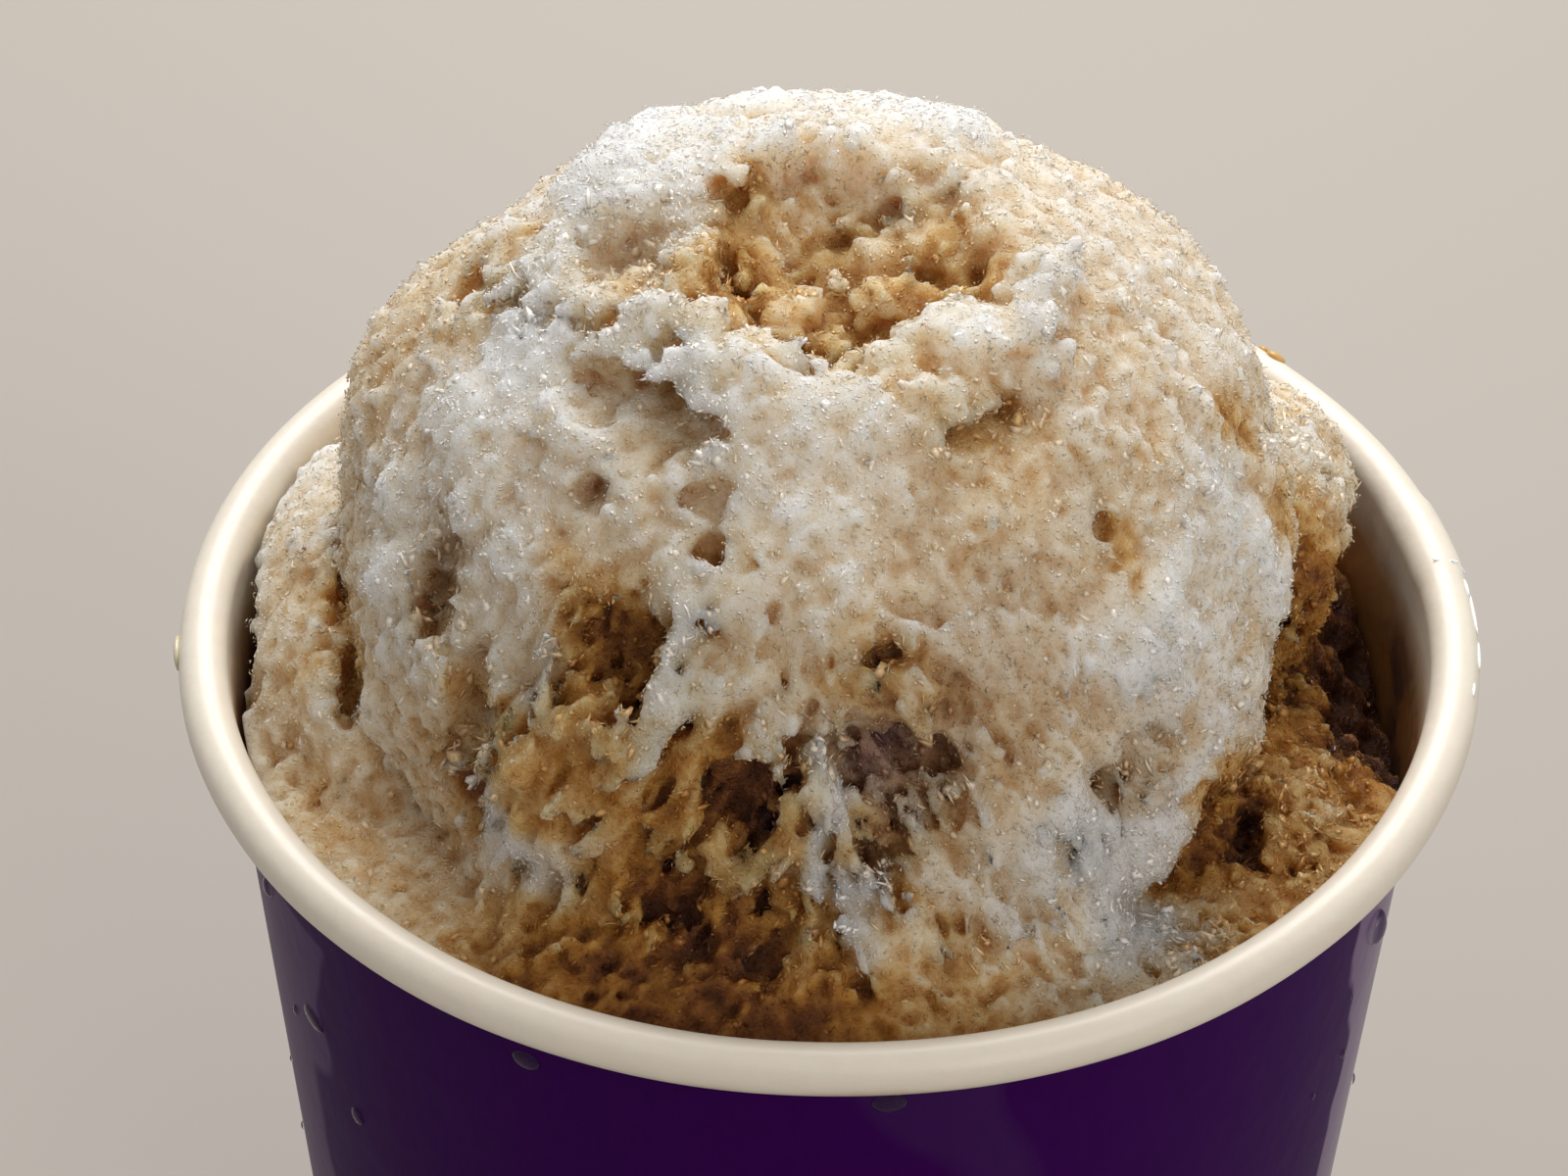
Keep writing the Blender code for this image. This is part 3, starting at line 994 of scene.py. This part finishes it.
def make_cup(sleeve_paper, liner_paper):
    top = BEAD_Z + 0.3 * MM
    levels = np.linspace(0.3 * MM, top, 26)
    outside = [(wall_inner(z) + PAPER, z) for z in levels]
    core = [(wall_inner(z) + 0.28 * MM, z) for z in levels[::-1]]
    hem = [(wall_inner(0.0) - 0.9 * MM, 0.0), (wall_inner(0.0) + PAPER - 0.1 * MM, 0.0)]
    hem_radius = wall_inner(HEM_TOP)
    tuck = [(hem_radius - 0.1 * MM, HEM_TOP), (hem_radius - 0.9 * MM, HEM_TOP - 0.4 * MM)]
    core = [p for p in core if p[1] > HEM_TOP + 0.5 * MM]
    sleeve = turned("cup_sleeve", outside + core + tuck + hem, sleeve_paper, shift=wall_shift)

    bead = arc((BEAD_CENTRE_RADIUS, BEAD_Z), BEAD_RADIUS, 180, -150, 36)
    tucked = [
        (WALL_INNER_AT_BEAD + PAPER + 0.05 * MM, BEAD_Z - 1.2 * MM),
        (WALL_INNER_AT_BEAD + 0.32 * MM, BEAD_Z - 1.6 * MM),
    ]
    levels = np.linspace(BEAD_Z - 2.2 * MM, LINER_BOTTOM, 22)
    back = [(wall_inner(z) + 0.24 * MM, z) for z in levels]
    face = [(wall_inner(z), z) for z in levels[::-1]]
    liner = turned("cup_liner", (bead + tucked + back + face)[::-1], liner_paper, shift=bead_shift)

    edge = wall_inner(7.2 * MM) - 0.15 * MM
    disc = [(AXIS_GAP, FLOOR_LOW), (edge, FLOOR_LOW), (edge, FLOOR_HIGH), (AXIS_GAP, FLOOR_HIGH)]
    base = turned("cup_floor", disc, liner_paper)
    for piece, slot in ((sleeve, "purple_paper"), (liner, "cream_paper"), (base, "cream_paper")):
        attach(piece, "root")
    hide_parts("cup_wall")
    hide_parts("cup_wall")
    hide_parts("cup_base")


def make_beads(name, spots, material):
    """Small rounded drops joined in one piece: place, the way it faces, and half sizes in mm.

    The half sizes run along the facing, across it and level, and across it and up.
    """
    rings, turns = 9, 14
    tilt = np.linspace(0.0, math.pi, rings)[1:-1]
    turn = np.arange(turns) * 2 * math.pi / turns
    ring = np.stack(
        [
            np.repeat(np.cos(tilt), turns),
            np.outer(np.sin(tilt), np.cos(turn)).ravel(),
            np.outer(np.sin(tilt), np.sin(turn)).ravel(),
        ],
        1,
    )
    ball = np.concatenate([ring, [[1.0, 0.0, 0.0], [-1.0, 0.0, 0.0]]])
    top, bottom = len(ball) - 2, len(ball) - 1
    faces = []
    for step in range(turns):
        after = (step + 1) % turns
        faces.append((top, step, after))
        last = len(ring) - turns
        faces.append((bottom, last + after, last + step))
        for row in range(rings - 3):
            start, end = row * turns, (row + 1) * turns
            faces.append((start + step, end + step, end + after))
            faces.append((start + step, end + after, start + after))
    corners = []
    for place, facing, half in spots:
        facing = np.array(facing, float) / np.linalg.norm(facing)
        level = np.array([-facing[1], facing[0], 0.0])
        level /= np.linalg.norm(level)
        up = np.cross(facing, level)
        shape = ball * half
        corners.append(np.array(place) + shape @ np.stack([facing, level, up]))
    count = len(ball)
    all_faces = [np.array(faces) + count * step for step in range(len(spots))]
    mesh = mesh_from(name, to_frame(np.concatenate(corners)), np.concatenate(all_faces))
    piece = add_piece(name, mesh, material)
    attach(piece, "root")


def on_sleeve(degrees, height):
    """A place on the cup's outside and the way the paper faces there, in mm."""
    turn = math.radians(degrees)
    radius = (wall_inner(BEAD_Z + height * MM) + PAPER) / MM
    facing = (math.cos(turn), math.sin(turn), 0.0)
    return (radius * facing[0], radius * facing[1], height), facing


def on_bead(degrees, tilt):
    """A place on the rim's bead, tilt degrees up from its outermost line, and its facing."""
    turn, rise = math.radians(degrees), math.radians(tilt)
    radius = (BEAD_CENTRE_RADIUS + BEAD_RADIUS * math.cos(rise)) / MM
    facing = (math.cos(turn) * math.cos(rise), math.sin(turn) * math.cos(rise), math.sin(rise))
    height = BEAD_RADIUS / MM * math.sin(rise)
    return (radius * math.cos(turn), radius * math.sin(turn), height), facing


DROPS = (  # turn in degrees, height above the bead's middle, half sizes
    (-20, -7.6, (0.5, 1, 1.1)),
    (-23, -13.8, (0.7, 1.3, 1.6)),
    (-36, -34, (0.4, 0.9, 0.9)),
    (-43, -39, (0.4, 0.9, 1)),
    (-118, -6.4, (0.3, 1.2, 0.9)),
    (-84.5, -5, (0.3, 1.3, 1)),
    (-158, -11.5, (0.4, 0.8, 0.9)),
    (-150, -20, (0.3, 1.6, 0.8)),
    (-143, -26, (0.3, 0.8, 0.8)),
)
SMALL_DROPS = 46
# painted highlights: near-white beads along the rim's outer edge and across the paper's seam
RIM_PAINTED_HIGHLIGHTS = (  # turn, tilt up from the bead's outermost line, both in degrees, half sizes
    (2, 22, (0.14, 2.4, 0.30)),
    (5.4, 30, (0.14, 1, 0.24)),
    (-3.5, 18, (0.13, 1.6, 0.22)),
    (-9, 40, (0.10, 0.8, 0.14)),
    (15, 70, (0.16, 0.4, 0.4)),
    (8, 40, (0.12, 0.18, 1)),
    (8.1, 78, (0.12, 0.16, 1.1)),
)
SYRUP_SPOTS = ((42.5, 45, (0.4, 0.9, 0.8)), (44.3, 28, (0.35, 0.6, 0.6)))
RIM_DRIP = ((184, -6, (0.35, 1.8, 1)),)


def make_drops(water, highlight_paint, syrup, melt):
    """Melt water on the paper, pale beads on the rim painted as highlights of a wet film and of the
    paper's seam, and spots of syrup.
    """
    random = np.random.default_rng(31)
    drops = [(*on_sleeve(degrees, height), half) for degrees, height, half in DROPS]
    for step in range(SMALL_DROPS):
        size = random.uniform(0.16, 0.42)
        place, facing = on_sleeve(random.uniform(-180, 180), random.uniform(-60, -5))
        drops.append((place, facing, (0.5 * size, size, size * random.uniform(0.8, 1.4))))
    make_beads("water_drops", drops, water)
    for name, rows, material in (
        ("rim_painted_highlights", RIM_PAINTED_HIGHLIGHTS, highlight_paint),
        ("syrup_drops", SYRUP_SPOTS, syrup),
        ("rim_drip", RIM_DRIP, melt),
    ):
        make_beads(name, [(*on_bead(degrees, tilt), half) for degrees, tilt, half in rows], material)


def make_core(material):
    """Plain packed ice that fills the cup under the worked ice."""
    top = BEAD_Z + (ICE_FLOOR + 0.5) * MM
    low, high = [(wall_inner(z) - 0.5 * MM, z) for z in (CORE_BOTTOM, top)]
    profile = [(AXIS_GAP, CORE_BOTTOM), low, high, (AXIS_GAP, top)]
    piece = turned("ice_core", profile, material, segments=96)
    paint(piece.data, np.tile((0.4, 0.3, 0.0), (len(piece.data.vertices), 1)))
    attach(piece, "root")
    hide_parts("shaved_ice")


# ------ materials


class Nodes:
    """Short ways to add and join the nodes of a material."""

    def __init__(self, name):
        self.material = bpy.data.materials.new(name)
        self.material.use_nodes = True
        self.tree = self.material.node_tree
        self.shader = self.tree.nodes["Principled BSDF"]
        self.place = self.add("ShaderNodeTexCoord").outputs["Object"]
        self.axes = self.add("ShaderNodeSeparateXYZ", {"Vector": self.place}).outputs

    def add(self, kind, inputs=None, **settings):
        node = self.tree.nodes.new(kind)
        for key, value in settings.items():
            setattr(node, key, value)
        for key, value in (inputs or {}).items():
            self.put(node, key, value)
        return node

    def put(self, node, key, value):
        if isinstance(value, bpy.types.NodeSocket):
            self.tree.links.new(value, node.inputs[key])
        else:
            node.inputs[key].default_value = value

    def shade(self, **values):
        for key, value in values.items():
            self.put(self.shader, key.replace("_", " "), value)

    def attribute(self, name):
        return self.add("ShaderNodeAttribute", attribute_name=name).outputs["Fac"]

    def noise(self, scale, detail=4.0, roughness=0.6, place=None):
        inputs = {"Vector": place or self.place, "Scale": scale, "Detail": detail, "Roughness": roughness}
        return self.add("ShaderNodeTexNoise", inputs).outputs["Fac"]

    def stretched(self, scale):
        return self.add("ShaderNodeMapping", {"Vector": self.place, "Scale": scale}).outputs["Vector"]

    def math(self, operation, first, second=0.0, clamp=False):
        node = self.add("ShaderNodeMath", {0: first, 1: second}, operation=operation, use_clamp=clamp)
        return node.outputs[0]

    def span(self, value, low, high, to_low=0.0, to_high=1.0):
        inputs = {"Value": value, "From Min": low, "From Max": high, "To Min": to_low, "To Max": to_high}
        return self.add("ShaderNodeMapRange", inputs).outputs["Result"]

    def mix(self, share, first, second):
        """Blends two colours, each a socket or three numbers."""
        node = self.add("ShaderNodeMix", {"Factor": share}, data_type="RGBA")
        for key, colour in ((6, first), (7, second)):
            self.put(node, key, colour if isinstance(colour, bpy.types.NodeSocket) else (*colour, 1.0))
        return node.outputs[2]

    def sway(self, noise, amount):
        """Noise turned into a small push either way."""
        return self.math("MULTIPLY", self.math("SUBTRACT", noise, 0.5), amount)

    def times(self, first, *others):
        for other in others:
            first = self.math("MULTIPLY", first, other)
        return first

    def ramp(self, value, stops):
        node = self.add("ShaderNodeValToRGB", {"Fac": value})
        elements = node.color_ramp.elements
        while len(elements) < len(stops):
            elements.new(1.0)
        for element, (place, colour) in zip(elements, stops):
            element.position = place
            element.color = (*colour, 1.0)
        return node.outputs["Color"]

    def bump(self, height, distance, strength=1.0, normal=None):
        inputs = {"Height": height, "Distance": distance, "Strength": strength}
        if normal is not None:
            inputs["Normal"] = normal
        return self.add("ShaderNodeBump", inputs).outputs["Normal"]


CREAM = (0.74, 0.68, 0.58)
BERRY_SOAK_AND_SHADE = (  # syrup soaked into the liner from the rim down, darkening further down as painted shade of the gap by the ice
    (0.0, CREAM),
    (0.14, (0.52, 0.38, 0.24)),
    (0.34, (0.21, 0.095, 0.04)),
    (0.60, (0.085, 0.024, 0.014)),
    (1.0, (0.045, 0.012, 0.009)),
)
AMBER_SOAK = ((0.0, CREAM), (0.2, (0.48, 0.26, 0.10)), (0.6, (0.34, 0.13, 0.02)))
BERRY_TINGE = (0.20, 0.13, 0.17)
SYRUP_STOPS = (  # the ice's colour by stain and painted shade
    (0, (0.95, 0.93, 0.905)),
    (0.12, (0.90, 0.83, 0.725)),
    (0.28, (0.80, 0.65, 0.455)),
    (0.45, (0.67, 0.415, 0.165)),
    (0.62, (0.47, 0.21, 0.040)),
    (0.80, (0.23, 0.080, 0.018)),
    (1, (0.07, 0.022, 0.009)),
)


def ice_colour(n, grain):
    drifted = n.math("ADD", n.attribute("stain_and_shade"), n.sway(n.noise(420.0), 0.16))
    stain_and_shade = n.math("ADD", drifted, n.sway(grain, 0.22), clamp=True)
    return n.mix(n.attribute("berry"), n.ramp(stain_and_shade, SYRUP_STOPS), BERRY_TINGE)


def ice_material():
    """Packed ice: light soaks deep into it, and its grain and fibres show in the gloss."""
    n = Nodes("shaved_ice")
    grain = n.noise(2600.0, 3.0)
    fibre = n.noise(1500.0, 3.0, 0.6, n.stretched((1.0, 1.0, 0.28)))
    rough = n.span(n.attribute("wet"), 0.0, 1.0, 0.45, 0.14)
    normal = n.bump(grain, 0.0006, 0.9, n.bump(n.noise(900.0, 3.0), 0.0012, 0.8))
    normal = n.bump(fibre, 0.0006, 0.6, normal)
    n.shade(Base_Color=ice_colour(n, grain), Roughness=rough, Normal=normal, IOR=1.31)
    n.shade(Subsurface_Weight=1.0, Subsurface_Scale=0.006)
    n.shade(Subsurface_Radius=(1.0, 0.90, 0.80))
    return n.material


def flake_material():
    """Loose chips of ice with a wet shine."""
    n = Nodes("ice_flakes")
    rough = n.span(n.attribute("wet"), 0.0, 1.0, 0.13, 0.07)
    n.shade(Base_Color=ice_colour(n, n.noise(2600.0, 3.0)), Roughness=rough, IOR=1.5)
    return n.material


def sleeve_material():
    n = Nodes("purple_paper")
    fibre = n.noise(1.0, 5.0, 0.65, n.stretched((900.0, 900.0, 260.0)))
    # painted reflection: a light greyish-purple band down the right edge of the front, and a short one low
    # at the left, where the glossy paper would reflect the floor
    wavy = n.sway(n.noise(70.0, 2.0, 0.4), 0.006)
    across = n.math("ADD", n.axes["X"], wavy)
    depth = n.math("ADD", n.axes["Y"], wavy)
    right = n.times(n.span(across, 0.0386, 0.0389), n.span(depth, -0.001, -0.005, 0.0, 0.5))
    low = n.span(n.axes["Z"], BEAD_Z - 0.009, BEAD_Z - 0.0096, 0.0, 0.16)
    left = n.times(n.span(across, -0.0375, -0.0379), low, n.span(depth, -0.001, -0.005))
    sides = n.math("MAXIMUM", left, right)
    patches = n.span(n.noise(34.0, 2.0, 0.4, n.stretched((1.0, 1.0, 0.45))), 0.60, 0.62, 0.0, 0.35)
    patches = n.math("MAXIMUM", patches, sides)
    colour = n.ramp(fibre, ((0.0, (0.026, 0.0006, 0.058)), (1.0, (0.036, 0.001, 0.078))))
    # the painted reflection band goes into the base colour, and also makes the paper glossier
    colour = n.mix(sides, colour, (0.13, 0.05, 0.22))
    rough = n.span(patches, 0.0, 1.0, 0.42, 0.16)
    normal = n.bump(n.noise(60.0, 3.0), 0.0008, 0.35, n.bump(fibre, 0.0001, 0.3))
    n.shade(Base_Color=colour, Roughness=rough, Normal=normal)
    n.shade(Coat_Weight=n.span(patches, 0.0, 1.0, 0.0, 0.6), Coat_Roughness=0.12, Specular_IOR_Level=0.02)
    return n.material


def liner_material():
    n = Nodes("cream_paper")
    fibre = n.noise(700.0, 5.0, 0.65)
    level = n.math("ADD", n.axes["Z"], n.sway(n.noise(60.0), 0.008))
    # darker further below the rim: syrup stain, and painted shade deeper in the gap between the ice and
    # the wall
    liner_soak_and_shade = n.span(level, BEAD_Z - 0.0012, BEAD_Z - 0.016)
    right = n.times(n.span(n.axes["X"], 0.036, 0.041), n.span(n.noise(110.0, 3.0), 0.42, 0.52))
    wall = n.mix(right, n.ramp(liner_soak_and_shade, BERRY_SOAK_AND_SHADE), n.ramp(liner_soak_and_shade, AMBER_SOAK))
    colour = n.mix(n.span(fibre, 0.3, 0.7, 0.0, 0.10), wall, (0.5, 0.44, 0.36))
    normal = n.bump(n.noise(150.0, 3.0), 0.0006, 0.25, n.bump(fibre, 0.00012, 0.35))
    n.shade(Base_Color=colour, Roughness=n.span(fibre, 0.3, 0.7, 0.5, 0.38), Normal=normal)
    n.shade(Subsurface_Weight=0.12, Subsurface_Scale=0.001, Coat_Weight=0.15, Coat_Roughness=0.25)
    return n.material


def water_material():
    n = Nodes("water")
    n.shade(Base_Color=(0.9, 0.88, 0.92, 1.0), Roughness=0.03, IOR=1.33, Transmission_Weight=1.0)
    return n.material


def syrup_material(name, dark, light):
    n = Nodes(name)
    n.shade(Base_Color=n.ramp(n.noise(500.0), ((0.3, dark), (0.7, light))))
    n.shade(Roughness=0.12, IOR=1.4, Subsurface_Weight=0.3, Subsurface_Scale=0.001)
    return n.material


# ------ stage


def make_floor():
    bpy.ops.mesh.primitive_plane_add(size=6.0)
    floor = bpy.context.object
    floor.name = "floor"
    n = Nodes("floor")
    n.shade(Base_Color=(0.345, 0.312, 0.277, 1.0), Roughness=0.6)
    floor.data.materials.append(n.material)


def area_light(name, place, target, size, power, colour):
    light = bpy.data.lights.new(name, "AREA")
    light.shape = "DISK"
    light.size = size
    light.energy = power
    light.color = colour
    lamp = bpy.data.objects.new(name, light)
    bpy.context.scene.collection.objects.link(lamp)
    lamp.location = place
    lamp.rotation_euler = (Vector(target) - Vector(place)).to_track_quat("-Z", "Y").to_euler()
    return lamp


def make_light():
    world = bpy.data.worlds.new("studio")
    bpy.context.scene.world = world
    world.use_nodes = True
    background = world.node_tree.nodes["Background"]
    background.inputs["Color"].default_value = (1.0, 0.975, 0.95, 1.0)
    background.inputs["Strength"].default_value = 0.47
    ice_middle = (0.0, 0.0, CUP_HEIGHT + 0.01)
    area_light("back_key", (0.0, 0.50, 0.62), ice_middle, 0.6, 6.6, (1.0, 0.99, 0.98))
    area_light("front_fill", (0.65, -0.95, 0.7), ice_middle, 0.8, 5.6, (1.0, 0.95, 0.89))


def make_camera():
    camera = bpy.data.cameras.new("camera")
    camera.sensor_width = 36.0
    camera.lens = 124.4
    camera.clip_end = 20.0
    eye = bpy.data.objects.new("camera", camera)
    bpy.context.scene.collection.objects.link(eye)
    eye.location = (-0.0031, -0.3129, BEAD_Z + 0.2642)
    pitch, yaw, roll = math.radians(39.75), math.radians(-0.06), math.radians(-0.58)
    turn = Euler((math.pi / 2 - pitch, 0.0, -yaw)).to_matrix()
    eye.rotation_euler = (turn @ Matrix.Rotation(-roll, 3, "Z")).to_euler()
    bpy.context.scene.camera = eye


# ------ build

ICE = ice_material()
FLAKE = flake_material()
block, field = ice_field()
relief = standing_out(block, field)
heap = make_ice("ice_heap", block, field, relief, ICE_TRIANGLES, ICE)
block, field = None, None
skin = Skin(heap, relief)
for name, *shape in PLATES:
    make_plates(name, skin, *shape, FLAKE)
for name, *shape in SLIVERS:
    make_slivers(name, skin, *shape, FLAKE)
make_core(ICE)
make_cup(sleeve_material(), liner_material())
make_drops(
    water_material(),
    # near-white glossy beads, painted highlights on the rim
    syrup_material("painted_rim_highlight", (0.90, 0.89, 0.87), (0.96, 0.95, 0.94)),
    syrup_material("syrup", (0.50, 0.30, 0.09), (0.62, 0.40, 0.15)),
    syrup_material("melt", (0.56, 0.50, 0.33), (0.66, 0.60, 0.44)),
)
make_floor()
make_light()
make_camera()
bpy.context.scene.view_settings.view_transform = "Standard"
